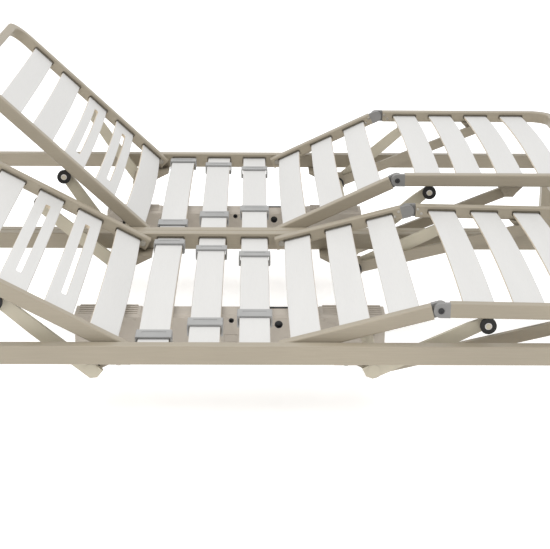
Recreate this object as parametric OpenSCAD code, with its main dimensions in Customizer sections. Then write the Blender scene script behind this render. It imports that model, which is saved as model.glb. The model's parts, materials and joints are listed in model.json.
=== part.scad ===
// Twin adjustable bed base: two slatted lift bases side by side, head end towards -X.
// Origin: on the floor, midway along the length and midway between the two bases.

/* [Base] */
// Length of each base
base_l = 2000; // [1600:10:2400]
// Width of each base
base_w = 900; // [740:10:1200]
// Gap between the two bases
base_gap = 3; // [0:1:20]
// Height of the underside of the side rails above the floor
rail_under = 250; // [180:5:400]

/* [Fixed frame] */
// Thickness of a side rail
rail_t = 30; // [22:1:40]
// Height of a side rail
rail_h = 45; // [44:1:60]
// Width of a crossbar, along the length of the base
crossbar_w = 70; // [60:1:90]
// Thickness of a crossbar
crossbar_t = 22; // [18:1:30]
// Side of a square leg
leg_w = 43; // [36:1:60]

/* [Lifting sections] */
// Thickness of a section beam
beam_t = 27; // [26:1:32]
// Height of a section beam
beam_h = 34; // [34:1:42]
// Gap between a beam and the side rail
beam_gap = 3; // [2:0.5:6]
// Outer radius of the corners at the head and the foot
corner_r = 80; // [50:5:120]
// Distance between the backrest pivot and the thigh pivot
pivot_span = 384; // [384:1:420]
// Distance of the middle of the seat from the middle of the base, towards the head
seat_offset = 140; // [100:5:160]
// Distance from the thigh pivot to the knee pin
thigh_l = 360; // [355:1:420]

/* [Slats] */
// Width of a slat
slat_w = 73; // [60:1:78]
// Thickness of a slat
slat_t = 8; // [7:0.5:9]
// Distance from one slat to the next
slat_pitch = 117; // [105:1:120]
// Rise of the middle of a slat above its ends
slat_rise = 15; // [8:1:18]
// Depth of the top of a slat end below the top of its beam or rail
slat_drop = 16; // [14:0.5:18]
// Distance from a section's pivot to the middle of its first slat
first_slat = 45; // [43:1:50]
// Distance from the knee pin to the middle of the first calf slat
first_calf_slat = 93; // [88:1:110]
// Width of the slot in a shoulder slat
slot_w = 14; // [8:1:20]
// Length of the slot in a shoulder slat
slot_l = 560; // [300:10:560]

/* [Lift mechanism] */
// Radius of a torsion tube
tube_r = 15; // [12:0.5:16]
// Depth of the torsion tubes' axis below the top of the rails
tube_drop = 83; // [80:1:95]
// Distance from the backrest pivot to the backrest torsion tube
back_tube_off = 69; // [60:1:75]
// Distance from the thigh pivot to the leg torsion tube
leg_tube_off = 201; // [190:1:215]
// Length of a backrest lift arm from its tube to its roller
back_arm_l = 273; // [265:1:280]
// Length of a leg lift arm from its tube to its roller
leg_arm_l = 283; // [275:1:290]
// Radius of a roller
roller_r = 19; // [16:0.5:21]
// Distance from the knee pin to the stay bracket's screw
stay_reach = 318; // [300:1:330]

/* [Resting pose] */
// Backrest angle of the right base
back_right = 28; // [0:1:60]
// Backrest angle of the left base
back_left = 43; // [0:1:60]
// Thigh angle of the right base
thigh_right = 15; // [0:0.5:35]
// Thigh angle of the left base
thigh_left = 25.5; // [0:0.5:35]

/* [Hidden] */
$fn = 64;
arc_fn = 1440;

// Colours
paint = [0.67, 0.63, 0.56];
slat_white = [0.91, 0.905, 0.89];
clip_grey = [0.70, 0.71, 0.70];
hinge_grey = [0.56, 0.56, 0.55];
rubber_black = [0.08, 0.08, 0.08];
steel = [0.62, 0.62, 0.60];
drive_grey = [0.72, 0.70, 0.65];
socket_black = [0.10, 0.10, 0.11];

// Heights, measured from the top of the rails
rail_top = rail_under + rail_h;
flush = 1.5;
pivot_z = -flush - beam_h / 2;
beam_low = -flush - beam_h;
crossbar_z = -rail_h - crossbar_t;

// Positions along the length
backrest_x = -seat_offset - pivot_span / 2;
thigh_x = -seat_offset + pivot_span / 2;
knee_flat_x = thigh_x + thigh_l;
end_gap = 4;
back_l = backrest_x + base_l / 2 - end_gap;
calf_l = base_l / 2 - end_gap - knee_flat_x;
back_tube_x = backrest_x - back_tube_off;
leg_tube_x = thigh_x + leg_tube_off;
tube_z = -tube_drop;

// Positions across one base, measured from its middle; those named from_rail start at the
// inner face of a side rail
base_mid = (base_w + base_gap) / 2;
inner_half = base_w / 2 - rail_t;
frame_half = inner_half - beam_gap;
clear_half = frame_half - beam_t;

// Fixed frame
edge_r = 3;
bolt_r = 5;
bolt_fit = 0.05;
leg_in = 3;
leg_x = base_l / 2 - crossbar_w / 2;
leg_y = base_w / 2 - leg_in - leg_w / 2;
bolt_head_r = 8;
bolt_head_t = 3;
bolt_bite = 22;
glide_r = 16;
glide_t = 4;
joining_t = 3;
joining_h = 50;
joining_drop = 20;
buffer_r = 12;
buffer_gap = 0.5;
buffer_y = frame_half - beam_t / 2 - 60;

// Sections
beam_edge_r = 4;
beam_tail = 16;
slat_end_margin = corner_r + slat_w / 2 + 3;
thigh_end_margin = 75;
back_slats = floor((back_l - first_slat - slat_end_margin) / slat_pitch) + 1;
thigh_slats = floor((thigh_l - first_slat - thigh_end_margin) / slat_pitch) + 1;
calf_slats = floor((calf_l - first_calf_slat - slat_end_margin) / slat_pitch) + 1;
no_slots = [1, 0];
shoulder_slots = [1, 2];
slot_cut = 20;
seat_slats = 3;

// Slat ends in their pockets
pocket_depth = 11;
slat_insert = 10;
pocket_side = 3;
pocket_above = 8;
pocket_below = 0.5;
pocket_r = 5;
slat_edge_r = 2.5;
seat_slat_gap = 3;

// Knee joint
knee_r = beam_h / 2;
knee_pin_r = 7.2;
knee_fit = 0.05;
thigh_stop = 19;
calf_start = 21.5;
knee_split = 0.6;
lobe_t = (beam_t - knee_split) / 2;
tenon_l = 20;
tenon_h = 18;
tenon_fit = 0.1;
tenon_side = 2;
tenon_w = lobe_t - 2 * tenon_side - 2 * tenon_fit;
knee_pin_out = 0.5;

// Lift arms, rollers and stays, placed from the rail's inner face
roller_clear = 0.3;
roller_from_rail = 7.5;
roller_w = 9;
roller_fit = 0.05;
axle_r = 4.5;
axle_head_r = 6.2;
axle_head_t = 2;
axle_play = 0.4;
arm_from_rail = 31;
arm_t = 10;
arm_hub_w = 34;
arm_end_w = 26;
arm_tail = 22;
arm_chamfer = 12;
arm_taper_low = 0.6;
arm_taper_top = 0.85;
tube_end = 1;
tube_wall = 2.5;
stay_from_rail = 43;
stay_t = 12;
stay_w = 30;
stay_fit = 0.3;
stay_ring_r = tube_r + 8;
stay_drop = 38;
stay_block_in = 15;
stay_block_top = [36, 42];
stay_block_mid = 21;
stay_block_tip = 12;
stay_screw_r = 5.5;
stay_screw_t = 2;
groove_from_rail = 7;
groove_w = 10;
groove_d = 13.5;
groove_ends = 24;

// Shaft brackets
bracket_from_rail = 57;
bracket_t = 5;
bracket_foot_t = 6;
bracket_lap = 14;
foot_screw_r = 3;
foot_screw_l = 15;
foot_screw_in = 7;
screw_head_t = 2;
bracket_foot_l = 55;
bracket_foot_off = 40;
bracket_r = 24;
bracket_lean = 8;
bracket_web = 4;
bush_wall = 3;
bush_fit = 0.05;
bush_flange = 1.5;
bush_flange_r = tube_r + 6;

// Drive unit
drive_front = 265;
drive_ridge = 66;
drive_depth = 150;
drive_top = -33;
drive_low = -158;
drive_chamfer = 6;
drive_front_slope = [26, 30];
drive_back_slope = 16;
drive_back_fall = 44;
drive_head_over = 62;
drive_foot_over = 44;
cover_l = 160;
drive_wall = 4;
drive_tube_gap = 1.5;
cover_z = -56;
cover_lip = 1.2;
cover_rib_in = 8;
cover_rib_pitch = 14;
cover_rib_w = 7;
cover_rib_h = 3;
cover_notch = 22;
cover_notch_w = 13;
cover_notch_h = 7;
motor_r = 27;
motor_l = 110;
gearbox_l = 70;
gearbox_w = 64;
gearbox_h = 74;
spindle_r = 7;
spindle_l = 26;
lever_l = 50;
lever_w = 20;
lever_t = 12;
lever_hub = 6;
lever_a = -125;
handset_socket = [-80, -46, 6.5];
mains_socket = [36, -56, 10];
socket_l = 14;
socket_depth = 9;
socket_wall = 1.5;

// Sliders on the seat slats
slider_l = 44;
slider_wall = 4;
slider_side = 2;
slider_play = 0.7;
slider_bow = 1.7;
slider_inset_a = [69, 143, 197];
slider_inset_b = [55, 115, 175];
slider_recess = [58, 20, 0.8];
slider_r = 3;
slider_hole_r = 1.5;
slider_near_end = 30;
slider_far_end = 300;

// Angle helpers
function seat_slat_x(i) = -seat_offset + (i - (seat_slats - 1) / 2) * slat_pitch;
function is_right(s) = s < 0;
function back_a(s) = is_right(s) ? back_right : back_left;
function thigh_a(s) = is_right(s) ? thigh_right : thigh_left;
function knee_x(a) = thigh_x + thigh_l * cos(a);
function knee_z(a) = pivot_z + thigh_l * sin(a);

// Point on the calf section, with the section sloping down by g
function calf_px(a, g, r, h) = knee_x(a) + r * cos(g) + h * sin(g);
function calf_pz(a, g, r, h) = knee_z(a) - r * sin(g) + h * cos(g);
stay_l = norm([calf_px(0, 0, stay_reach, -stay_drop) - leg_tube_x,
               calf_pz(0, 0, stay_reach, -stay_drop) - tube_z]);
function stay_error(a, g) =
    norm([calf_px(a, g, stay_reach, -stay_drop) - leg_tube_x,
          calf_pz(a, g, stay_reach, -stay_drop) - tube_z]) - stay_l;
// Slope of the calf section that the stays allow, found by halving an interval
function calf_slope(a, lo = -15, hi = 15, n = 24) =
    n == 0 ? (lo + hi) / 2
    : stay_error(a, (lo + hi) / 2) < 0 ? calf_slope(a, lo, (lo + hi) / 2, n - 1)
    : calf_slope(a, (lo + hi) / 2, hi, n - 1);
function calf_a(s) = calf_slope(thigh_a(s));
function stay_a(s) =
    atan2(calf_pz(thigh_a(s), calf_a(s), stay_reach, -stay_drop) - tube_z,
          calf_px(thigh_a(s), calf_a(s), stay_reach, -stay_drop) - leg_tube_x);

// Angle of a lift arm whose roller touches the underside of a beam. The beam starts at
// distance wd, wn from the tube, measured along and across the beam.
roller_drop = beam_h / 2 + roller_r + roller_clear;
function arm_rise(wn, len) = asin((wn - roller_drop) / len);
function back_wn(a) = back_tube_off * sin(a) + (pivot_z - tube_z) * cos(a);
function back_arm_a(s) = back_a(s) + arm_rise(back_wn(back_a(s)), back_arm_l);
function calf_wn(a, g) =
    (knee_x(a) - leg_tube_x) * sin(g) + (knee_z(a) - tube_z) * cos(g);
function leg_arm_a(s) = arm_rise(calf_wn(thigh_a(s), calf_a(s)), leg_arm_l) - calf_a(s);
// Distance along the backrest beam from its pivot to the roller
function back_contact(a) =
    back_arm_l * cos(arm_rise(back_wn(a), back_arm_l)) + back_tube_off * cos(a)
    + (tube_z - pivot_z) * sin(a);
groove_start = back_contact(60) - roller_r - groove_ends;
groove_end = back_contact(0) + roller_r + groove_ends;

// ---------- shared shapes ----------

module rounded_rect(w, h, r) {
    square([w, h - 2 * r], center = true);
    square([w - 2 * r, h], center = true);
    for (x = [-1, 1])
        for (y = [-1, 1])
            translate([x * (w / 2 - r), y * (h / 2 - r)]) circle(r);
}

// Bar along +X from x0 to x1, its section centred on y and z
module bar_x(x0, x1, w, h, r) {
    translate([x0, 0, 0]) rotate([90, 0, 90]) linear_extrude(x1 - x0) rounded_rect(w, h, r);
}

// Bar along Y, centred
module bar_y(l, w, h, r) {
    rotate([90, 0, 0]) translate([0, 0, -l / 2]) linear_extrude(l) rounded_rect(w, h, r);
}

// Cylinder along +Y from y0 to y1
module rod_y(y0, y1, r) {
    translate([0, y1, 0]) rotate([90, 0, 0]) cylinder(h = y1 - y0, r = r);
}

// Prism of a flat outline in the XZ plane, from y0 to y1
module plate_y(y0, y1) {
    translate([0, y1, 0]) rotate([90, 0, 0]) linear_extrude(y1 - y0) children();
}

// Both sides of a base, from the inner faces of its rails inwards
module both_sides() {
    translate([0, -inner_half, 0]) children();
    translate([0, inner_half, 0]) mirror([0, 1, 0]) children();
}

// One base, moved to its place
module on_base(s) {
    translate([0, s * base_mid, rail_top]) children();
}

module both_bases() {
    on_base(-1) children();
    on_base(1) children();
}

// The section frames: X runs along the section from its pivot, Z is square to it
module backrest_place(s) {
    translate([backrest_x, 0, pivot_z]) rotate([0, back_a(s), 0]) mirror([1, 0, 0]) children();
}

module thigh_place(s) {
    translate([thigh_x, 0, pivot_z]) rotate([0, -thigh_a(s), 0]) children();
}

module calf_place(s) {
    translate([knee_x(thigh_a(s)), 0, knee_z(thigh_a(s))])
        rotate([0, calf_a(s), 0]) children();
}

// ---------- slats and pockets ----------

// Bent slat across the base; the middle of its thickness is at z = 0 at the ends
module slat(len, slotted = false) {
    mid_r = (len * len / 4 + slat_rise * slat_rise) / (2 * slat_rise);
    half_a = asin(len / 2 / mid_r);
    difference() {
        translate([0, 0, slat_rise - mid_r]) rotate([90, 0, 90])
            rotate([0, 0, 90 - half_a])
                rotate_extrude(angle = 2 * half_a, $fn = arc_fn)
                    translate([mid_r, 0]) slat_section();
        if (slotted)
            translate([0, 0, slat_rise - slot_cut]) linear_extrude(2 * slot_cut) slot_outline();
    }
}

module slat_section() {
    rounded_rect(slat_t, slat_w, slat_edge_r, $fn = 24);
}

module slot_outline() {
    square([slot_w, slot_l - slot_w], center = true);
    for (y = [-1, 1]) translate([0, y * (slot_l - slot_w) / 2]) circle(slot_w / 2);
}

// Row of slats in a section, at the height of the section's pockets. The slats numbered from
// slots[0] to slots[1] have a slot.
module section_slats(first, count, slots = no_slots) {
    for (i = [0 : count - 1])
        translate([first + i * slat_pitch, 0, beam_h / 2 - slat_drop - slat_t / 2])
            slat(2 * (clear_half + slat_insert), i >= slots[0] && i <= slots[1]);
}

// Pocket cut into an inner face at y = 0, opening towards +Y; z = 0 is the top of the beam
module pocket(depth_of_stack) {
    low = -slat_drop - depth_of_stack - pocket_below;
    high = -slat_drop + pocket_above;
    translate([0, 0, (low + high) / 2]) plate_y(-pocket_depth, 1)
        rounded_rect(slat_w + 2 * pocket_side, high - low, pocket_r, $fn = 32);
}

module pocket_row(first, count) {
    for (i = [0 : count - 1]) translate([first + i * slat_pitch, 0, 0]) pocket(slat_t);
}

// ---------- fixed frame ----------

module rail(outer) {
    color(paint) mirror([0, outer, 0]) difference() {
        translate([0, inner_half + rail_t / 2, -rail_h / 2])
            bar_x(-base_l / 2, base_l / 2, rail_t, rail_h, edge_r);
        for (i = [0 : seat_slats - 1])
            translate([seat_slat_x(i), inner_half, 0]) mirror([0, 1, 0])
                pocket(2 * slat_t + seat_slat_gap);
        for (x = [backrest_x, thigh_x])
            translate([x, inner_half, pivot_z]) rod_y(-1, bolt_bite, bolt_r);
        for (x = [-leg_x, leg_x])
            translate([x, leg_y, -rail_h - 1]) cylinder(h = bolt_bite + 1, r = bolt_r);
        for (x = foot_screw_xs())
            translate([x, inner_half + foot_screw_in, -rail_h - 1])
                cylinder(h = foot_screw_l + 1, r = foot_screw_r);
    }
}

function foot_screw_xs() = [
    back_tube_x + bracket_foot_off + bracket_foot_l / 2,
    leg_tube_x - bracket_foot_off - bracket_foot_l / 2
];

module right_outer_rail() { on_base(-1) rail(1); }
module right_inner_rail() { on_base(-1) rail(0); }
module left_inner_rail() { on_base(1) rail(1); }
module left_outer_rail() { on_base(1) rail(0); }

module at_corners() {
    for (x = [-leg_x, leg_x])
        for (y = [-leg_y, leg_y])
            translate([x, y, 0]) children();
}

module crossbars() {
    color(paint) both_bases() for (x = [-leg_x, leg_x])
        difference() {
            translate([x, 0, crossbar_z + crossbar_t / 2])
                bar_y(base_w, crossbar_w, crossbar_t, edge_r);
            for (y = [-1, 1])
                translate([x, y * leg_y, crossbar_z - 1]) cylinder(h = crossbar_t + 2, r = bolt_r);
        }
}

module legs() {
    bottom = -rail_top + glide_t;
    color(paint) both_bases() at_corners() difference() {
        translate([0, 0, bottom]) linear_extrude(crossbar_z - bottom)
            rounded_rect(leg_w, leg_w, edge_r);
        translate([0, 0, crossbar_z - bolt_bite]) cylinder(h = bolt_bite + 1, r = bolt_r);
    }
}

module leg_glides() {
    color(socket_black) both_bases() at_corners()
        translate([0, 0, -rail_top]) cylinder(h = glide_t, r = glide_r);
}

// Plates that hold the two bases together, on the inward faces of the middle legs
module joining_plates() {
    x = leg_x - leg_w / 2 - joining_t;
    half_y = base_mid - leg_y + leg_w / 2;
    color(steel) for (end = [0, 1]) mirror([end, 0, 0])
        translate([x, -half_y, rail_top + crossbar_z - joining_drop - joining_h])
            cube([joining_t, 2 * half_y, joining_h]);
}

module rest_buffers() {
    color(rubber_black) both_bases() for (x = [-leg_x, leg_x])
        for (y = [-buffer_y, buffer_y])
            translate([x, y, -rail_h]) cylinder(h = rail_h + beam_low - buffer_gap, r = buffer_r);
}

module frame_bolts() {
    color(steel) both_bases() {
        at_corners() translate([0, 0, crossbar_z - bolt_bite])
            cylinder(h = bolt_bite * 2 + crossbar_t, r = bolt_r);
        for (x = foot_screw_xs())
            for (y = [-1, 1])
                translate([x, y * (inner_half + foot_screw_in), -rail_h - bracket_foot_t]) {
                    cylinder(h = bracket_foot_t + foot_screw_l, r = foot_screw_r);
                    translate([0, 0, -screw_head_t]) cylinder(h = screw_head_t, r = 2 * foot_screw_r);
                }
    }
}

module pivot_bolts() {
    color(steel) both_bases() both_sides() for (x = [backrest_x, thigh_x])
        translate([x, 0, pivot_z]) {
            rod_y(-bolt_bite, beam_gap + beam_t + axle_play, bolt_r);
            rod_y(beam_gap + beam_t + axle_play, beam_gap + beam_t + axle_play + bolt_head_t,
                  bolt_head_r);
        }
}

module seat_slat_set(level) {
    color(slat_white) both_bases() for (i = [0 : seat_slats - 1])
        translate([seat_slat_x(i), 0, -slat_drop - slat_t / 2 - level * (slat_t + seat_slat_gap)])
            slat(2 * (inner_half + slat_insert));
}

module seat_upper_slats() { seat_slat_set(0); }
module seat_lower_slats() { seat_slat_set(1); }

// ---------- shaft brackets and bushes ----------

// Bracket outline around a tube at the origin; its foot lies towards +X
module bracket_outline() {
    foot_x = bracket_foot_off;
    top = tube_drop - rail_h;
    difference() {
        union() {
            circle(bracket_r);
            polygon([[-bracket_r, 0], [-bracket_r + bracket_lean, top],
                     [foot_x + bracket_foot_l, top],
                     [foot_x + bracket_foot_l, top - bracket_foot_t],
                     [bracket_r, -bracket_web], [0, -bracket_web]]);
        }
        circle(tube_r + bush_wall);
    }
}

module shaft_bracket() {
    top = tube_drop - rail_h;
    plate_y(bracket_from_rail, bracket_from_rail + bracket_t) bracket_outline();
    difference() {
        translate([bracket_foot_off, -bracket_lap, top - bracket_foot_t])
            cube([bracket_foot_l, bracket_from_rail + bracket_lap, bracket_foot_t]);
        translate([bracket_foot_off + bracket_foot_l / 2, -foot_screw_in, top - bracket_foot_t - 1])
            cylinder(h = bracket_foot_t + 2, r = foot_screw_r);
    }
}

module at_tubes() {
    both_sides() {
        translate([back_tube_x, 0, tube_z]) children();
        translate([leg_tube_x, 0, tube_z]) mirror([1, 0, 0]) children();
    }
}

module shaft_brackets() { color(paint) both_bases() at_tubes() shaft_bracket(); }

module shaft_bush() {
    difference() {
        union() {
            rod_y(bracket_from_rail, bracket_from_rail + bracket_t + bush_flange,
                  tube_r + bush_wall);
            rod_y(bracket_from_rail + bracket_t, bracket_from_rail + bracket_t + bush_flange,
                  bush_flange_r);
        }
        rod_y(bracket_from_rail - 1, bracket_from_rail + bracket_t + bush_flange + 1,
              tube_r + bush_fit);
    }
}

module shaft_bushes() { color(socket_black) both_bases() at_tubes() shaft_bush(); }

// ---------- drive unit ----------

drive_x0 = back_tube_x - drive_head_over;
drive_x1 = leg_tube_x + drive_foot_over;
drive_y0 = -inner_half + drive_front - drive_wall;
drive_y1 = -inner_half + drive_front + drive_depth + drive_wall;

// Section of the drive, seen along X: front towards -Y
module drive_outline(grow) {
    polygon([[-grow, drive_low + drive_front_slope[1] - grow],
             [-grow, drive_top + grow - drive_chamfer],
             [drive_chamfer, drive_top + grow],
             [drive_ridge, drive_top + grow],
             [drive_depth + grow, drive_top - drive_back_fall],
             [drive_depth + grow, drive_low + drive_back_slope],
             [drive_depth - drive_back_slope, drive_low - grow],
             [drive_front_slope[0], drive_low - grow]]);
}

module drive_prism(x0, x1, grow) {
    translate([x0, -inner_half + drive_front, 0]) rotate([90, 0, 90])
        linear_extrude(x1 - x0) drive_outline(grow);
}

// Space around the drive below the level where the end covers sit
module cover_level() {
    translate([drive_x0 - drive_wall, drive_y0, drive_low - drive_wall])
        cube([drive_x1 - drive_x0 + 2 * drive_wall, drive_y1 - drive_y0,
              cover_z - drive_low + drive_wall]);
}

module below_cover() {
    intersection() {
        children();
        cover_level();
    }
}

module above_cover() {
    difference() {
        children();
        cover_level();
    }
}

// Notch down to a torsion tube, open at the top for fitting the drive from below
module tube_notch(x) {
    r = tube_r + drive_tube_gap;
    translate([x, 0, tube_z]) {
        rod_y(drive_y0, drive_y1, r);
        translate([-r, drive_y0, 0]) cube([2 * r, drive_y1 - drive_y0, cover_z - tube_z + 1]);
    }
}

module drive_housing() {
    front = -inner_half + drive_front;
    color(drive_grey) difference() {
        union() {
            drive_prism(drive_x0 + cover_l, drive_x1 - cover_l, 0);
            below_cover() drive_prism(drive_x0, drive_x1, 0);
        }
        drive_prism(drive_x0 + cover_l + drive_wall, drive_x1 - cover_l - drive_wall, -drive_wall);
        translate([0, 0, 1]) below_cover()
            drive_prism(drive_x0 + drive_wall, drive_x1 - drive_wall, -drive_wall);
        tube_notch(back_tube_x);
        tube_notch(leg_tube_x);
        for (k = [handset_socket, mains_socket])
            translate([k[0], front, k[1]]) rod_y(-1, drive_wall + 1, k[2]);
    }
}

module right_drive_housing() { on_base(-1) drive_housing(); }
module left_drive_housing() { on_base(1) drive_housing(); }

// End cover: ribbed lid over a torsion tube, with a notched lower edge in front
module end_cover(x0, x1) {
    front = -inner_half + drive_front;
    above_cover() difference() {
        union() {
            drive_prism(x0, x1, cover_lip);
            for (y = [cover_rib_in : cover_rib_pitch : drive_ridge])
                translate([x0 + cover_rib_in, front + y, drive_top - drive_wall / 2])
                    cube([x1 - x0 - 2 * cover_rib_in, cover_rib_w, cover_rib_h + drive_wall / 2]);
        }
        drive_prism(x0 + drive_wall, x1 - drive_wall, -drive_wall);
        for (x = [x0 + cover_notch : 2 * cover_notch : x1 - cover_notch])
            translate([x, front - drive_wall, cover_z - 1])
                cube([cover_notch_w, drive_wall, cover_notch_h + 1]);
    }
}

module drive_end_covers() {
    color(drive_grey) both_bases() {
        end_cover(drive_x0, drive_x0 + cover_l);
        end_cover(drive_x1 - cover_l, drive_x1);
    }
}

module drive_sockets() {
    front = -inner_half + drive_front;
    color(socket_black) both_bases() for (k = [handset_socket, mains_socket])
        translate([k[0], front, k[1]]) difference() {
            rod_y(0, socket_l, k[2]);
            rod_y(-1, socket_depth, k[2] - socket_wall);
        }
}

// One motor with its gearbox and spindle, the spindle pointing towards +X
module drive_motor() {
    floor_z = drive_low + drive_wall;
    translate([0, -inner_half + drive_front + drive_depth / 2, floor_z + gearbox_h / 2]) {
        translate([0, -gearbox_w / 2, -gearbox_h / 2]) cube([gearbox_l, gearbox_w, gearbox_h]);
        rotate([0, -90, 0]) cylinder(h = motor_l, r = motor_r);
        translate([gearbox_l, 0, 0]) rotate([0, 90, 0]) cylinder(h = spindle_l, r = spindle_r);
    }
}

module drive_motors() {
    reach = gearbox_l + spindle_l + drive_wall + 2;
    color(steel) both_bases() {
        translate([drive_x1 - cover_l - reach, 0, 0]) drive_motor();
        translate([drive_x0 + cover_l + reach, 0, 0]) mirror([1, 0, 0]) drive_motor();
    }
}

// ---------- backrest ----------

// Beam pair from x0 to x1
module beam_pair(x0, x1) {
    both_sides() translate([0, beam_gap + beam_t / 2, 0])
        bar_x(x0, x1, beam_t, beam_h, beam_edge_r);
}

// Beam pair joined at its far end by a crossbar with round corners
module u_frame(x0, len) {
    beam_pair(x0, len - corner_r);
    both_sides() translate([len - corner_r, beam_gap + corner_r, 0])
        rotate([0, 0, -90]) rotate_extrude(angle = 90)
            translate([corner_r - beam_t / 2, 0]) rounded_rect(beam_t, beam_h, beam_edge_r);
    translate([len - beam_t / 2, 0, 0])
        bar_y(2 * (frame_half - corner_r), beam_t, beam_h, beam_edge_r);
}

module beam_pockets(first, count) {
    both_sides() translate([0, beam_gap + beam_t, beam_h / 2]) pocket_row(first, count);
}

module pivot_bores() {
    both_sides() rod_y(beam_gap - 1, beam_gap + beam_t + 1, bolt_r + bolt_fit);
}

module backrest_frame(s) {
    color(paint) on_base(s) backrest_place(s) difference() {
        u_frame(-beam_tail, back_l);
        beam_pockets(first_slat, back_slats);
        pivot_bores();
        both_sides() translate([groove_start, groove_from_rail, -beam_h / 2 - 1])
            cube([groove_end - groove_start, groove_w, groove_d + 1]);
    }
}

module backrest_slats(s) {
    color(slat_white) on_base(s) backrest_place(s)
        section_slats(first_slat, back_slats, shoulder_slots);
}

// ---------- thigh and calf ----------

module thigh_beams(s) {
    color(paint) on_base(s) thigh_place(s) difference() {
        beam_pair(-beam_tail, thigh_l - thigh_stop);
        beam_pockets(first_slat, thigh_slats);
        pivot_bores();
        both_sides()
            translate([thigh_l - thigh_stop - tenon_l,
                       beam_gap + beam_t - lobe_t + tenon_side, -tenon_h / 2])
                cube([tenon_l + 1, lobe_t - 2 * tenon_side, tenon_h]);
    }
}

module thigh_slat_set(s) {
    color(slat_white) on_base(s) thigh_place(s) section_slats(first_slat, thigh_slats);
}

// Thigh half of the knee joint, on the inner side, with its pin
module thigh_knee_fittings(s) {
    color(hinge_grey) on_base(s) thigh_place(s) both_sides() translate([thigh_l, 0, 0]) {
        inner = beam_gap + beam_t;
        union() {
            rod_y(inner - lobe_t, inner, knee_r);
            translate([-thigh_stop, inner - lobe_t, -knee_r]) cube([thigh_stop, lobe_t, beam_h]);
            translate([-thigh_stop - tenon_l + tenon_fit, inner - lobe_t + tenon_side + tenon_fit,
                       -tenon_h / 2 + tenon_fit])
                cube([tenon_l, tenon_w, tenon_h - 2 * tenon_fit]);
            rod_y(beam_gap - knee_pin_out, inner, knee_pin_r);
        }
    }
}

module calf_frame(s) {
    color(paint) on_base(s) calf_place(s) difference() {
        u_frame(calf_start, calf_l);
        beam_pockets(first_calf_slat, calf_slats);
        both_sides() translate([calf_start - 1, beam_gap + tenon_side, -tenon_h / 2])
            cube([tenon_l + 1, lobe_t - 2 * tenon_side, tenon_h]);
    }
}

module calf_slat_set(s) {
    color(slat_white) on_base(s) calf_place(s) section_slats(first_calf_slat, calf_slats);
}

// Calf half of the knee joint, on the outer side
module calf_knee_fittings(s) {
    color(hinge_grey) on_base(s) calf_place(s) both_sides() difference() {
        union() {
            rod_y(beam_gap, beam_gap + lobe_t, knee_r);
            translate([0, beam_gap, -knee_r]) cube([calf_start, lobe_t, beam_h]);
            translate([calf_start - 1, beam_gap + tenon_side + tenon_fit,
                       -tenon_h / 2 + tenon_fit])
                cube([tenon_l + 1 - tenon_fit, tenon_w, tenon_h - 2 * tenon_fit]);
        }
        rod_y(beam_gap - 1, beam_gap + lobe_t + 1, knee_pin_r + knee_fit);
    }
}

// Bracket under a calf beam, with the screw that the stay's end comes up to
module stay_bracket() {
    y0 = beam_gap + stay_block_in;
    y1 = stay_from_rail - 1;
    low = -stay_drop - stay_block_tip;
    plate_y(y0, y1)
        polygon([[-stay_block_top[0], -beam_h / 2], [stay_block_top[1], -beam_h / 2],
                 [stay_block_mid, -stay_drop], [stay_block_tip, low], [-stay_block_tip, low],
                 [-stay_block_mid, -stay_drop + stay_block_tip / 2]]);
    translate([0, 0, -stay_drop]) rod_y(y0 - stay_screw_t, y0, stay_screw_r);
}

module stay_brackets(s) {
    color(paint) on_base(s) calf_place(s) both_sides()
        translate([stay_reach, 0, 0]) stay_bracket();
}

// Stay: board that turns on the leg torsion tube and holds the calf section up
module stays(s) {
    color(paint) on_base(s) both_sides()
        translate([leg_tube_x, 0, tube_z]) rotate([0, -stay_a(s), 0])
            plate_y(stay_from_rail, stay_from_rail + stay_t) difference() {
                union() {
                    circle(stay_ring_r);
                    translate([0, -stay_w / 2]) square([stay_l, stay_w]);
                    translate([stay_l, 0]) circle(stay_w / 2);
                }
                circle(tube_r + stay_fit);
            }
}

// ---------- lift shafts, arms and rollers ----------

// Arm outline: hub at the origin, roller axle at x = len
module arm_outline(len) {
    difference() {
        union() {
            polygon([[-arm_tail, -arm_hub_w / 2 + arm_chamfer],
                     [-arm_tail + arm_chamfer, -arm_hub_w / 2],
                     [len * arm_taper_low, -arm_hub_w / 2], [len, -arm_end_w / 2],
                     [len, arm_end_w / 2], [len * arm_taper_top, arm_hub_w / 2],
                     [-arm_tail, arm_hub_w / 2]]);
            translate([len, 0]) circle(arm_end_w / 2);
        }
        circle(tube_r);
    }
}

module lift_shaft(len) {
    difference() {
        rod_y(-inner_half + arm_from_rail - tube_end, inner_half - arm_from_rail + tube_end, tube_r);
        rod_y(-inner_half + arm_from_rail + arm_t, inner_half - arm_from_rail - arm_t,
              tube_r - tube_wall);
    }
    translate([0, -inner_half + drive_front + drive_depth / 2, 0]) rotate([0, -lever_a, 0])
        plate_y(-lever_t / 2, lever_t / 2) difference() {
            union() {
                circle(tube_r + lever_hub);
                translate([0, -lever_w / 2]) square([lever_l, lever_w]);
                translate([lever_l, 0]) circle(lever_w / 2);
            }
            circle(tube_r);
        }
    both_sides() {
        plate_y(arm_from_rail, arm_from_rail + arm_t) arm_outline(len);
        translate([len, 0, 0]) {
            rod_y(roller_from_rail - axle_play, arm_from_rail, axle_r);
            rod_y(roller_from_rail - axle_play - axle_head_t, roller_from_rail - axle_play,
                  axle_head_r);
            rod_y(roller_from_rail + roller_w + axle_play, arm_from_rail, axle_head_r);
        }
    }
}

module backrest_lift(s) {
    color(paint) on_base(s) translate([back_tube_x, 0, tube_z])
        rotate([0, back_arm_a(s), 0]) mirror([1, 0, 0]) lift_shaft(back_arm_l);
}

module leg_lift(s) {
    color(paint) on_base(s) translate([leg_tube_x, 0, tube_z])
        rotate([0, -leg_arm_a(s), 0]) lift_shaft(leg_arm_l);
}

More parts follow.
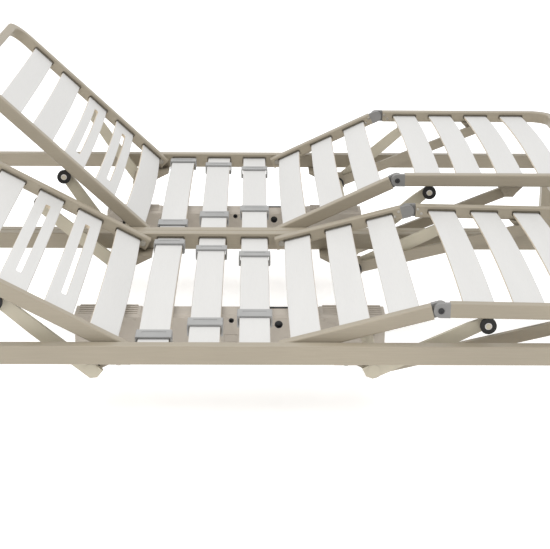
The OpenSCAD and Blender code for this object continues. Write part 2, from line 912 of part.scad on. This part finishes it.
module roller_pair() {
    both_sides() difference() {
        rod_y(roller_from_rail, roller_from_rail + roller_w, roller_r);
        rod_y(roller_from_rail - 1, roller_from_rail + roller_w + 1, axle_r + roller_fit);
    }
}

module backrest_rollers(s) {
    color(rubber_black) on_base(s)
        translate([back_tube_x - back_arm_l * cos(back_arm_a(s)), 0,
                   tube_z + back_arm_l * sin(back_arm_a(s))]) roller_pair();
}

module leg_rollers(s) {
    color(rubber_black) on_base(s)
        translate([leg_tube_x + leg_arm_l * cos(leg_arm_a(s)), 0,
                   tube_z + leg_arm_l * sin(leg_arm_a(s))]) roller_pair();
}

// ---------- sliders ----------

// Height of a bent seat slat above its ends, at y from the middle
seat_len = 2 * (inner_half + slat_insert);
seat_mid_r = (seat_len * seat_len / 4 + slat_rise * slat_rise) / (2 * slat_rise);
function slat_lift(y) = sqrt(seat_mid_r * seat_mid_r - y * y) - seat_mid_r + slat_rise;
slider_y0 = inner_half - slider_near_end;
slider_y1 = inner_half - slider_far_end;
slider_tilt = atan((slat_lift(slider_y1) - slat_lift(slider_y0)) / (slider_y0 - slider_y1));
function slider_lift(y) = slat_lift(slider_y0) + (slider_y0 - y) * tan(slider_tilt);

// Clip around both slats at seat position i; end = -1 is the side towards -Y
module slider(s, i, end) {
    y = inner_half - (end < 0 ? slider_inset_a : slider_inset_b)[i];
    hole_top = slider_bow + slider_play;
    hole_low = -2 * slat_t - seat_slat_gap - slider_play;
    hole_w = slat_w + 2 * slider_side;
    color(clip_grey) on_base(s)
        translate([seat_slat_x(i), end * y, -slat_drop + slider_lift(y)])
            rotate([-end * slider_tilt, 0, 0]) difference() {
                translate([0, 0, (hole_top + hole_low) / 2])
                    bar_y(slider_l, hole_w + 2 * slider_wall,
                          hole_top - hole_low + 2 * slider_wall, slider_r);
                translate([0, 0, (hole_top + hole_low) / 2])
                    bar_y(slider_l + 2, hole_w, hole_top - hole_low, slider_hole_r);
                translate([0, 0, hole_top + slider_wall - slider_recess[2]])
                    linear_extrude(slider_wall)
                        rounded_rect(slider_recess[0], slider_recess[1], slider_r);
            }
}

// ---------- nodes ----------

right_outer_rail();
right_inner_rail();
left_inner_rail();
left_outer_rail();
crossbars();
legs();
leg_glides();
joining_plates();
rest_buffers();
frame_bolts();
pivot_bolts();
seat_lower_slats();
seat_upper_slats();
shaft_brackets();
shaft_bushes();
right_drive_housing();
left_drive_housing();
drive_end_covers();
drive_sockets();
drive_motors();
backrest_frame(-1);  // right_backrest_frame
backrest_slats(-1);  // right_backrest_slats
thigh_beams(-1);  // right_thigh_beams
thigh_slat_set(-1);  // right_thigh_slats
thigh_knee_fittings(-1);  // right_thigh_knee_fittings
calf_frame(-1);  // right_calf_frame
calf_slat_set(-1);  // right_calf_slats
calf_knee_fittings(-1);  // right_calf_knee_fittings
stay_brackets(-1);  // right_stay_brackets
stays(-1);  // right_stays
backrest_lift(-1);  // right_backrest_lift
leg_lift(-1);  // right_leg_lift
backrest_rollers(-1);  // right_backrest_rollers
leg_rollers(-1);  // right_leg_rollers
slider(-1, 0, -1);  // right_slider_1a
slider(-1, 0, 1);  // right_slider_1b
slider(-1, 1, -1);  // right_slider_2a
slider(-1, 1, 1);  // right_slider_2b
slider(-1, 2, -1);  // right_slider_3a
slider(-1, 2, 1);  // right_slider_3b
backrest_frame(1);  // left_backrest_frame
backrest_slats(1);  // left_backrest_slats
thigh_beams(1);  // left_thigh_beams
thigh_slat_set(1);  // left_thigh_slats
thigh_knee_fittings(1);  // left_thigh_knee_fittings
calf_frame(1);  // left_calf_frame
calf_slat_set(1);  // left_calf_slats
calf_knee_fittings(1);  // left_calf_knee_fittings
stay_brackets(1);  // left_stay_brackets
stays(1);  // left_stays
backrest_lift(1);  // left_backrest_lift
leg_lift(1);  // left_leg_lift
backrest_rollers(1);  // left_backrest_rollers
leg_rollers(1);  // left_leg_rollers
slider(1, 0, -1);  // left_slider_1a
slider(1, 0, 1);  // left_slider_1b
slider(1, 1, -1);  // left_slider_2a
slider(1, 1, 1);  // left_slider_2b
slider(1, 2, -1);  // left_slider_3a
slider(1, 2, 1);  // left_slider_3b
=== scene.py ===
"""Looks for the twin adjustable bed base: materials, small fittings, stage, light and camera."""

import json
import math

import bmesh
import bpy
from mathutils import Matrix, Vector


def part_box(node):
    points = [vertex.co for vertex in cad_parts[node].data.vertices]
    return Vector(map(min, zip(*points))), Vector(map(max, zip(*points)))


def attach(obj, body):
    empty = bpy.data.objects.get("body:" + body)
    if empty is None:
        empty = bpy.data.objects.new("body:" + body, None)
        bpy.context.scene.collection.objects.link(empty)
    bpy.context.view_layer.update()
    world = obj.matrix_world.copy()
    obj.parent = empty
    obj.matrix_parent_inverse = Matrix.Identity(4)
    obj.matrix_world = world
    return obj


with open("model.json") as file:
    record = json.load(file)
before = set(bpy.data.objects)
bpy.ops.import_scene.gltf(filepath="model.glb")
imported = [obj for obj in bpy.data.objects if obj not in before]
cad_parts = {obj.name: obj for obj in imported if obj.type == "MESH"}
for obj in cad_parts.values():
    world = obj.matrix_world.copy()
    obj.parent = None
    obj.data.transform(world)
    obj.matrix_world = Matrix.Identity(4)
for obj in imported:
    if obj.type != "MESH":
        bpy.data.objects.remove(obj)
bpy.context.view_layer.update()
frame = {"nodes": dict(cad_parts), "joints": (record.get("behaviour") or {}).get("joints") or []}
NODES = frame["nodes"]
JOINTS = {j["name"]: j for j in frame["joints"]}
SIDES = ("right", "left")

# Linear colours
SAND = (0.288, 0.25, 0.188)
# Lift arms: a lighter copy of the sand paint, painted light against the shade under the sections.
ARM_LIT_SAND = (0.44, 0.40, 0.31)
# Brackets: the sand paint at nine tenths, painted shade for parts hanging under the beams and
# rails.
BRACKET_SHADED_SAND = (0.26, 0.225, 0.17)
FOIL = (0.535, 0.529, 0.515)
PLYWOOD = (0.60, 0.52, 0.40)
PLYWOOD_DARK = (0.42, 0.34, 0.24)
CLIP_GREY = (0.275, 0.275, 0.27)
HINGE_GREY = (0.19, 0.186, 0.18)
RUBBER = (0.010, 0.0095, 0.009)
HUB_GREY = (0.56, 0.535, 0.53)
ZINC = (0.40, 0.38, 0.34)
SHELL = (0.385, 0.345, 0.295)
BLACK = (0.014, 0.014, 0.015)
# Pale edge colour of the painted edge highlight on lacquered wood.
EDGE_HIGHLIGHT_WOOD = (0.60, 0.52, 0.40)
# Pale edge colour of the painted edge highlight on powder-coated steel.
EDGE_HIGHLIGHT_STEEL = (0.36, 0.34, 0.31)
DUSTY_RUBBER = (0.035, 0.033, 0.03)
FLOOR_WHITE = (0.93, 0.93, 0.93)


# ---------- shader helpers ----------

class Shader:
    """A material under construction, with short calls for the nodes it needs."""

    def __init__(self, name):
        self.mat = bpy.data.materials.new(name)
        self.mat.use_nodes = True
        self.tree = self.mat.node_tree
        self.bsdf = self.tree.nodes["Principled BSDF"]
        self.coords = self.tree.nodes.new("ShaderNodeTexCoord")

    def link(self, out, socket):
        self.tree.links.new(out, socket)

    def scaled(self, scale):
        """Object coordinates, stretched by scale."""
        mapping = self.tree.nodes.new("ShaderNodeMapping")
        mapping.inputs["Scale"].default_value = scale
        self.link(self.coords.outputs["Object"], mapping.inputs["Vector"])
        return mapping.outputs["Vector"]

    def noise(self, vector, scale, detail=4.0, rough=0.55, distort=0.0):
        node = self.tree.nodes.new("ShaderNodeTexNoise")
        node.inputs["Scale"].default_value = scale
        node.inputs["Detail"].default_value = detail
        node.inputs["Roughness"].default_value = rough
        node.inputs["Distortion"].default_value = distort
        self.link(vector, node.inputs["Vector"])
        return node.outputs["Fac"]

    def wave(self, vector, scale, distort=0.0, direction="Z", detail=2.0):
        node = self.tree.nodes.new("ShaderNodeTexWave")
        node.bands_direction = direction
        node.inputs["Scale"].default_value = scale
        node.inputs["Distortion"].default_value = distort
        node.inputs["Detail"].default_value = detail
        self.link(vector, node.inputs["Vector"])
        return node.outputs["Fac"]

    def voronoi(self, vector, scale):
        node = self.tree.nodes.new("ShaderNodeTexVoronoi")
        node.inputs["Scale"].default_value = scale
        self.link(vector, node.inputs["Vector"])
        return node.outputs["Distance"]

    def spread(self, value, low, high, to_low=0.0, to_high=1.0):
        node = self.tree.nodes.new("ShaderNodeMapRange")
        node.inputs["From Min"].default_value = low
        node.inputs["From Max"].default_value = high
        node.inputs["To Min"].default_value = to_low
        node.inputs["To Max"].default_value = to_high
        self.link(value, node.inputs["Value"])
        return node.outputs["Result"]

    def math(self, operation, a, b):
        node = self.tree.nodes.new("ShaderNodeMath")
        node.operation = operation
        for socket, value in zip(node.inputs, (a, b)):
            if isinstance(value, (int, float)):
                socket.default_value = value
            else:
                self.link(value, socket)
        return node.outputs["Value"]

    def mix(self, factor, a, b):
        node = self.tree.nodes.new("ShaderNodeMix")
        node.data_type = "RGBA"
        self.link(factor, node.inputs["Factor"])
        for name, value in (("A", a), ("B", b)):
            socket = [s for s in node.inputs if s.name == name and s.type == "RGBA"][0]
            if isinstance(value, tuple):
                socket.default_value = (*value, 1)
            else:
                self.link(value, socket)
        return [s for s in node.outputs if s.type == "RGBA"][0]

    def facing(self, direction, low, high):
        """1 where the surface faces along direction or against it."""
        dot = self.tree.nodes.new("ShaderNodeVectorMath")
        dot.operation = "DOT_PRODUCT"
        dot.inputs[1].default_value = direction
        self.link(self.coords.outputs["Normal"], dot.inputs[0])
        return self.spread(self.math("ABSOLUTE", dot.outputs["Value"], 0.0), low, high)

    def painted_edge_highlight(self, radius, amount):
        """Painted edge highlight: paler where a rounded normal leaves the true one, broken up by
        noise.
        """
        bevel = self.tree.nodes.new("ShaderNodeBevel")
        bevel.samples = 4
        bevel.inputs["Radius"].default_value = radius
        geometry = self.tree.nodes.new("ShaderNodeNewGeometry")
        dot = self.tree.nodes.new("ShaderNodeVectorMath")
        dot.operation = "DOT_PRODUCT"
        self.link(bevel.outputs["Normal"], dot.inputs[0])
        self.link(geometry.outputs["Normal"], dot.inputs[1])
        edge = self.spread(dot.outputs["Value"], 0.985, 0.88)
        broken = self.spread(self.noise(self.scaled((1, 1, 1)), 90, 5), 0.42, 0.62)
        return self.math("MULTIPLY", self.math("MULTIPLY", edge, broken), amount)

    def bump(self, height, strength, distance, below=None):
        node = self.tree.nodes.new("ShaderNodeBump")
        node.inputs["Strength"].default_value = strength
        node.inputs["Distance"].default_value = distance
        self.link(height, node.inputs["Height"])
        if below is not None:
            self.link(below, node.inputs["Normal"])
        self.link(node.outputs["Normal"], self.bsdf.inputs["Normal"])
        return node.outputs["Normal"]

    def finish(self, color, rough, metallic=0.0, specular=0.5, coat=0.0, coat_rough=0.2):
        self.link(color, self.bsdf.inputs["Base Color"])
        self.link(rough, self.bsdf.inputs["Roughness"])
        self.bsdf.inputs["Metallic"].default_value = metallic
        self.bsdf.inputs["Specular IOR Level"].default_value = specular
        self.bsdf.inputs["Coat Weight"].default_value = coat
        self.bsdf.inputs["Coat Roughness"].default_value = coat_rough
        return self.mat


# ---------- materials ----------

def tint(color, factor):
    return tuple(c * factor for c in color)


def lacquered_wood(name, base, along, shift=0.0):
    """Satin lacquer over wood: faint open grain along the bar, orange peel and a painted highlight
    along the edges.
    """
    s = Shader(name)
    stretch = [38.0, 38.0, 38.0]
    stretch["xyz".index(along)] = 1.6
    grain = s.noise(s.scaled(tuple(stretch)), 7.0, 6.0, 0.62, 0.25)
    cloud = s.noise(s.scaled((1, 1, 1)), 3.1 + shift, 3.0)
    dust = s.noise(s.scaled((1, 1, 1)), 46.0, 4.0)
    tone = s.mix(s.spread(cloud, 0.35, 0.7), tint(base, 0.95), tint(base, 1.05))
    tone = s.mix(s.spread(grain, 0.36, 0.68, 0.0, 0.30), tone, tint(base, 0.80))
    tone = s.mix(s.spread(dust, 0.62, 0.78, 0.0, 0.16), tone, tint(base, 1.14))
    # Painted highlight along the edges, in a pale wood colour.
    tone = s.mix(s.painted_edge_highlight(0.0016, 0.35), tone, EDGE_HIGHLIGHT_WOOD)
    rough = s.spread(s.math("ADD", cloud, grain), 0.7, 1.3, 0.38, 0.52)
    fine = s.bump(s.noise(s.scaled((1, 1, 1)), 520.0, 2.0), 0.10, 0.0004)
    s.bump(grain, 0.22, 0.0006, fine)
    return s.finish(tone, rough, specular=0.42, coat=0.12, coat_rough=0.35)


def powder_coat(name, base):
    """Powder-coated steel: fine pebbled skin with a painted highlight along the edges."""
    s = Shader(name)
    pebble = s.voronoi(s.scaled((1, 1, 1)), 900.0)
    cloud = s.noise(s.scaled((1, 1, 1)), 9.0, 4.0)
    scuff = s.noise(s.scaled((4, 1, 1)), 60.0, 5.0, 0.7)
    tone = s.mix(s.spread(cloud, 0.35, 0.7), tint(base, 0.94), tint(base, 1.05))
    tone = s.mix(s.spread(scuff, 0.60, 0.80, 0.0, 0.25), tone, tint(base, 0.75))
    # Painted highlight along the edges, in a pale steel colour.
    tone = s.mix(s.painted_edge_highlight(0.0012, 0.5), tone, EDGE_HIGHLIGHT_STEEL)
    rough = s.spread(scuff, 0.3, 0.8, 0.36, 0.55)
    s.bump(pebble, 0.16, 0.0004)
    return s.finish(tone, rough, specular=0.45)


def foil_slat(name, up):
    """Off-white foil with an embossed wood pore, and bare laminated beech on the narrow sides."""
    s = Shader(name)
    pores = s.noise(s.scaled((60.0, 2.2, 60.0)), 9.0, 6.0, 0.66, 0.2)
    broad = s.noise(s.scaled((7.0, 0.8, 7.0)), 3.0, 3.0)
    foil = s.mix(s.spread(broad, 0.35, 0.7), tint(FOIL, 0.965), FOIL)
    foil = s.mix(s.spread(pores, 0.50, 0.74, 0.0, 0.2), foil, tint(FOIL, 0.82))
    layers = s.wave(s.scaled((1, 1, 1)), 95.0, 0.6, "Z", 1.0)
    fibre = s.noise(s.scaled((30.0, 3.0, 90.0)), 12.0, 5.0, 0.6)
    ply = s.mix(s.spread(layers, 0.35, 0.65), PLYWOOD, tint(PLYWOOD, 0.78))
    ply = s.mix(s.spread(fibre, 0.4, 0.7, 0.0, 0.5), ply, PLYWOOD_DARK)
    cover = s.facing(up, 0.50, 0.62)
    tone = s.mix(cover, ply, foil)
    rough = s.spread(s.math("ADD", pores, broad), 0.7, 1.3, 0.40, 0.54)
    s.bump(pores, 0.22, 0.0003)
    return s.finish(tone, rough, specular=0.4, coat=0.10, coat_rough=0.3)


def moulded_plastic(name, base, grain, rough, edge_highlight_amount=0.25):
    """Injection-moulded plastic: spark-eroded grain, faint flow clouds, a pale painted highlight
    along the edges.
    """
    s = Shader(name)
    cloud = s.noise(s.scaled((1, 1, 1)), 12.0, 4.0, 0.6, 0.6)
    scratch = s.noise(s.scaled((3, 22, 9)), 34.0, 4.0, 0.7)
    cell = s.voronoi(s.scaled((1, 1, 1)), grain)
    tone = s.mix(s.spread(cloud, 0.3, 0.7), tint(base, 0.93), tint(base, 1.06))
    pale = tuple(min(1.0, c * 1.35 + 0.02) for c in base)
    tone = s.mix(s.spread(scratch, 0.62, 0.80, 0.0, 0.22), tone, pale)
    # Painted highlight along the edges, in the pale colour.
    tone = s.mix(s.painted_edge_highlight(0.0009, edge_highlight_amount), tone, pale)
    sheen = s.spread(s.math("ADD", cloud, scratch), 0.6, 1.4, *rough)
    s.bump(cell, 0.18, 0.0003)
    return s.finish(tone, sheen, specular=0.42)


def roller_rubber(name):
    """Hard black rubber with a dusty tread."""
    s = Shader(name)
    dust = s.noise(s.scaled((1, 1, 1)), 140.0, 5.0, 0.7)
    tone = s.mix(s.spread(dust, 0.45, 0.8, 0.0, 0.4), RUBBER, DUSTY_RUBBER)
    rough = s.spread(dust, 0.3, 0.8, 0.55, 0.8)
    s.bump(s.noise(s.scaled((1, 1, 1)), 800.0, 3.0), 0.3, 0.0003)
    return s.finish(tone, rough, specular=0.35)


def zinc_plate(name):
    """Zinc-plated steel: brushed, with dull spots."""
    s = Shader(name)
    brush = s.noise(s.scaled((900, 900, 60)), 1.0, 3.0, 0.7)
    spots = s.noise(s.scaled((1, 1, 1)), 160.0, 5.0)
    tone = s.mix(s.spread(spots, 0.4, 0.7), ZINC, tint(ZINC, 0.72))
    rough = s.spread(brush, 0.3, 0.7, 0.26, 0.46)
    s.bump(brush, 0.12, 0.0002)
    return s.finish(tone, rough, metallic=1.0)


def tilt_direction(angle):
    """Unit vector square to a section that slopes up towards -X by angle, in degrees."""
    return (math.sin(math.radians(angle)), 0.0, math.cos(math.radians(angle)))


def rest_angle(joint):
    """Angle of a section above flat at rest: the way its joint can still go down, in degrees."""
    return -JOINTS[joint]["range_deg"][0]


def dress(node, material):
    mesh = NODES[node].data
    mesh.materials.clear()
    mesh.materials.append(material)


def assign_materials():
    paint_x = lacquered_wood("sand_lacquer_x", SAND, "x")
    paint_y = lacquered_wood("sand_lacquer_y", SAND, "y", 0.7)
    paint_z = lacquered_wood("sand_lacquer_z", SAND, "z", 1.3)
    # Lift arms: lighter copy of the sand paint, painted light for the shade they sit in.
    arm_lit_sand = powder_coat("arm_lit_sand_coat", ARM_LIT_SAND)
    # Brackets: darker copy of the sand paint, painted shade under the beams and rails.
    coat = powder_coat("bracket_shaded_sand_coat", BRACKET_SHADED_SAND)
    shell = moulded_plastic("drive_shell_grain", SHELL, 420.0, (0.45, 0.62))
    clip = moulded_plastic("clip_grey_grain", CLIP_GREY, 700.0, (0.38, 0.55))
    hinge = moulded_plastic("hinge_grey_grain", HINGE_GREY, 800.0, (0.40, 0.6))
    # Black plastic: a weaker painted edge highlight.
    black = moulded_plastic("black_grain", BLACK, 800.0, (0.35, 0.55), edge_highlight_amount=0.12)
    rubber = roller_rubber("roller_rubber_dusty")
    zinc = zinc_plate("zinc_brushed")
    kinds = {
        "legs": paint_z, "crossbars": paint_y, "leg_glides": black, "joining_plates": zinc,
        "rest_buffers": rubber, "frame_bolts": zinc, "pivot_bolts": zinc,
        "shaft_brackets": coat, "shaft_bushes": black, "drive_end_covers": shell,
        "drive_sockets": black, "drive_motors": zinc,
    }
    endings = (
        ("_rail", paint_x), ("_drive_housing", shell), ("_frame", paint_x), ("_beams", paint_x),
        ("_knee_fittings", hinge), ("_stay_brackets", coat), ("_stays", paint_x),
        ("_lift", arm_lit_sand), ("_rollers", rubber),
    )
    for node in NODES:
        if node in kinds:
            dress(node, kinds[node])
            continue
        if "_slider_" in node:
            dress(node, clip)
            continue
        for ending, material in endings:
            if node.endswith(ending):
                dress(node, material)
    flat = foil_slat("foil_seat", (0, 0, 1))
    dress("seat_upper_slats", flat)
    dress("seat_lower_slats", flat)
    for side in SIDES:
        back = rest_angle(f"{side}_backrest_tilt")
        thigh = rest_angle(f"{side}_thigh_tilt")
        dress(f"{side}_backrest_slats", foil_slat(f"foil_{side}_back", tilt_direction(back)))
        dress(f"{side}_thigh_slats", foil_slat(f"foil_{side}_thigh", tilt_direction(-thigh)))
        dress(f"{side}_calf_slats", foil_slat(f"foil_{side}_calf", (0, 0, 1)))
    return {"zinc": zinc, "black": black, "shell": shell}


# ---------- small fittings ----------

SMOOTH_BELOW = 35  # degrees between faces
TIP_RADIUS = 0.0004


def new_piece(name, bm, material, body):
    mesh = bpy.data.meshes.new(name)
    bmesh.ops.recalc_face_normals(bm, faces=bm.faces)
    bm.to_mesh(mesh)
    bm.free()
    for face in mesh.polygons:
        face.use_smooth = True
    mesh.materials.append(material)
    piece = bpy.data.objects.new(name, mesh)
    bpy.context.scene.collection.objects.link(piece)
    smooth = piece.modifiers.new("edges", "EDGE_SPLIT")
    smooth.split_angle = math.radians(SMOOTH_BELOW)
    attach(piece, body)
    return piece


def lathe(bm, profile, centre, side, steps=48):
    """Turned solid about an axis along Y. profile holds (radius, distance along the axis)."""
    rings = []
    for radius, depth in profile:
        ring = []
        for k in range(steps):
            angle = 2 * math.pi * k / steps
            offset = Vector((radius * math.cos(angle), side * depth, radius * math.sin(angle)))
            ring.append(bm.verts.new(centre + offset))
        rings.append(ring)
    for low, high in zip(rings, rings[1:]):
        for k in range(steps):
            bm.faces.new((low[k], low[(k + 1) % steps], high[(k + 1) % steps], high[k]))
    bm.faces.new(rings[0])
    bm.faces.new(list(reversed(rings[-1])))


PIN_HEAD = ((0.0, 0.0011), (0.0030, 0.0011), (0.0033, 0.0022), (0.0062, 0.0022),
            (0.0071, 0.0015), (0.0072, 0.0))
HUB_DISC = ((0.0082, -0.0004), (0.0082, 0.00015), (0.0078, 0.00035), (0.0066, 0.00035))
SCREW_HEAD = ((0.0, 0.0004), (0.0016, 0.0004), (0.0018, 0.0012), (0.0034, 0.0012),
              (0.0040, 0.0006), (0.0041, 0.0))


def heads(name, profile, places, material, body):
    """Round heads, one at each place: (centre, side), with the head on that side of the centre."""
    bm = bmesh.new()
    for centre, side in places:
        lathe(bm, [(max(r, TIP_RADIUS), d) for r, d in profile], centre, side)
    return new_piece(name, bm, material, body)


def joint_point(name):
    return Vector(JOINTS[name]["pos_m"])


def outer_faces(node):
    low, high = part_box(node)
    return low.y, high.y


def add_pin_heads(kit):
    for side in SIDES:
        centre = joint_point(f"{side}_knee_bend")
        low, high = outer_faces(f"{side}_thigh_knee_fittings")
        places = [(Vector((centre.x, low, centre.z)), -1), (Vector((centre.x, high, centre.z)), 1)]
        heads(f"{side}_knee_pin_heads", PIN_HEAD, places, kit["black"],
              f"{side}_thigh")


BEAM_WIDTH = 0.0275
SCREW_ALONG = (0.027, 0.037)
SCREW_RISE = 0.006


def add_knee_screws(kit):
    """Two small screws beside the knee on the inner face of each beam."""
    for side in SIDES:
        knee = joint_point(f"{side}_knee_bend")
        along_thigh = (joint_point(f"{side}_thigh_tilt") - knee).normalized()
        along_calf = Vector((1, 0, 0))
        low, high = outer_faces(f"{side}_thigh_knee_fittings")
        for body, along in (("thigh", along_thigh), ("calf", along_calf)):
            places = []
            for y, sign in ((low + BEAM_WIDTH, 1), (high - BEAM_WIDTH, -1)):
                for step, rise in zip(SCREW_ALONG, (SCREW_RISE, -SCREW_RISE)):
                    point = knee + along * step
                    places.append((Vector((point.x, y, point.z + rise)), sign))
            heads(f"{side}_{body}_knee_screws", SCREW_HEAD, places, kit["zinc"],
                  f"{side}_{body}")


def add_roller_hubs():
    """Pale hub disc on the outer side of each roller."""
    hub = moulded_plastic("hub_pale", HUB_GREY, 700.0, (0.35, 0.5))
    for side in SIDES:
        for part in ("backrest", "leg"):
            spin = joint_point(f"{side}_{part}_roller_spin")
            low, high = outer_faces(f"{side}_{part}_rollers")
            places = [(Vector((spin.x, low, spin.z)), -1), (Vector((spin.x, high, spin.z)), 1)]
            heads(f"{side}_{part}_roller_hubs", HUB_DISC, places, hub,
                  f"{side}_{part}_rollers")


def rounded_box(bm, low, high, radius, segments=2):
    size = Vector(high) - Vector(low)
    middle = (Vector(high) + Vector(low)) / 2
    made = bmesh.ops.create_cube(bm, size=1.0)
    verts = made["verts"]
    bmesh.ops.scale(bm, vec=size, verts=verts)
    bmesh.ops.translate(bm, vec=middle, verts=verts)
    edges = list({e for v in verts for e in v.link_edges})
    bmesh.ops.bevel(bm, geom=edges, offset=radius, segments=segments, profile=0.5, affect="EDGES")


LABEL_CENTRE = (-0.082, -0.060)
LABEL_HALF = (0.016, 0.0102)
LABEL_LINE = 0.0014
LABEL_PROUD = 0.0009
LABEL_EDGE = 0.0004
SEAL_X = (0.012, 0.065)
SEAL_Y = (0.052, 0.060)
SEAL_H = 0.0025
SEAL_EDGE = 0.0015
SINK = 0.002
COVER_SCREW_IN = (0.012, 0.148)
COVER_SCREW_DOWN = 0.013
LID_PROUD = 0.0012


def frame_bars(centre, half, line):
    """Low and high corners, in x and z, of the four bars of a rectangular frame."""
    (x, z), (w, h) = centre, half
    return (
        ((x - w, z - h), (x + w, z - h + line)), ((x - w, z + h - line), (x + w, z + h)),
        ((x - w, z - h), (x - w + line, z + h)), ((x + w - line, z - h), (x + w, z + h)),
    )


def add_drive_details(kit):
    """Raised blank label field in front and a rubber seal on the ridge of each drive unit."""
    for side in SIDES:
        low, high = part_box(f"{side}_drive_housing")
        centre = (LABEL_CENTRE[0], high.z + LABEL_CENTRE[1])
        bm = bmesh.new()
        for (x0, z0), (x1, z1) in frame_bars(centre, LABEL_HALF, LABEL_LINE):
            rounded_box(bm, (x0, low.y - LABEL_PROUD, z0), (x1, low.y + SINK, z1), LABEL_EDGE)
        new_piece(f"{side}_drive_label_field", bm, kit["shell"], "frame")
        bm = bmesh.new()
        rounded_box(bm, (SEAL_X[0], low.y + SEAL_Y[0], high.z - SINK),
                    (SEAL_X[1], low.y + SEAL_Y[1], high.z + SEAL_H), SEAL_EDGE)
        new_piece(f"{side}_drive_seal", bm, kit["black"], "frame")


def add_cover_screws(kit):
    """Two screws in the front of each end cover."""
    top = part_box("drive_end_covers")[1].z
    for side in SIDES:
        low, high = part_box(f"{side}_drive_housing")
        front = low.y - LID_PROUD
        places = []
        for inset in COVER_SCREW_IN:
            for x in (low.x + inset, high.x - inset):
                places.append((Vector((x, front, top - COVER_SCREW_DOWN)), -1))
        heads(f"{side}_cover_screws", SCREW_HEAD, places, kit["shell"], "frame")


def build_fittings(kit):
    add_pin_heads(kit)
    add_knee_screws(kit)
    add_roller_hubs()
    add_drive_details(kit)
    add_cover_screws(kit)


# ---------- stage, light and camera ----------

def plain_material(name, color, rough):
    s = Shader(name)
    cloud = s.noise(s.scaled((1, 1, 1)), 0.8, 2.0)
    tone = s.mix(s.spread(cloud, 0.3, 0.7), color, tint(color, 0.995))
    return s.finish(tone, s.spread(cloud, 0.3, 0.7, rough, rough + 0.05), specular=0.2)


FLOOR_GLOW = 0.42
FLOOR_ROUGH = 0.8
FLOOR_SIZE = 60.0


def build_stage():
    bpy.ops.mesh.primitive_plane_add(size=FLOOR_SIZE, location=(0, 0, 0))
    floor = bpy.context.object
    floor.name = "studio_floor"
    white = plain_material("floor_white", FLOOR_WHITE, FLOOR_ROUGH)
    bsdf = white.node_tree.nodes["Principled BSDF"]
    bsdf.inputs["Emission Color"].default_value = (1, 1, 1, 1)
    bsdf.inputs["Emission Strength"].default_value = FLOOR_GLOW
    floor.data.materials.append(white)


def area_light(name, place, target, size, energy):
    data = bpy.data.lights.new(name, "AREA")
    data.shape = "RECTANGLE"
    data.size, data.size_y = size
    data.energy = energy
    light = bpy.data.objects.new(name, data)
    light.location = place
    aim = Vector(target) - Vector(place)
    light.rotation_euler = aim.to_track_quat("-Z", "Y").to_euler()
    bpy.context.scene.collection.objects.link(light)


AIM = (0.0, 0.0, 0.3)
WORLD_STRENGTH = 1.0
# Name, place, size in metres and power in watts
LIGHTS = (
    ("top_softbox", (-0.6, -0.4, 4.2), (4.0, 3.4), 100),
    ("front_softbox", (-2.2, -4.6, 2.6), (2.6, 2.0), 36),
)


def build_light():
    world = bpy.data.worlds.new("studio")
    world.use_nodes = True
    background = world.node_tree.nodes["Background"]
    background.inputs["Color"].default_value = (1.0, 1.0, 1.0, 1)
    background.inputs["Strength"].default_value = WORLD_STRENGTH
    bpy.context.scene.world = world
    for name, place, size, energy in LIGHTS:
        area_light(name, place, AIM, size, energy)


CAMERA_PLACE = (-0.0303, -4.1864, 1.27463)  # height above the top of the rails
CAMERA_ANGLES = (18.55, 0.90, 0.48)
LENS = 102.02
SENSOR = 36.0
CLIP_END = 200.0


def build_camera():
    """Camera looking down, turned a little to the right and rolled."""
    pitch, yaw, roll = (math.radians(a) for a in CAMERA_ANGLES)
    rail_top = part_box("right_outer_rail")[1].z
    forward = Vector((math.sin(yaw) * math.cos(pitch),
                      math.cos(yaw) * math.cos(pitch),
                      -math.sin(pitch)))
    level = Vector((math.cos(yaw), -math.sin(yaw), 0))
    above = level.cross(forward)
    right = math.cos(roll) * level + math.sin(roll) * above
    up = -math.sin(roll) * level + math.cos(roll) * above
    data = bpy.data.cameras.new("photo_view")
    data.sensor_width = SENSOR
    data.lens = LENS
    data.clip_end = CLIP_END
    camera = bpy.data.objects.new("photo_view", data)
    place = Matrix((right, up, -forward)).transposed().to_4x4()
    place.translation = Vector(CAMERA_PLACE) + Vector((0, 0, rail_top))
    camera.matrix_world = place
    bpy.context.scene.collection.objects.link(camera)
    bpy.context.scene.camera = camera
    bpy.context.scene.view_settings.view_transform = "Standard"


build_camera()
kit = assign_materials()
build_fittings(kit)
build_stage()
build_light()
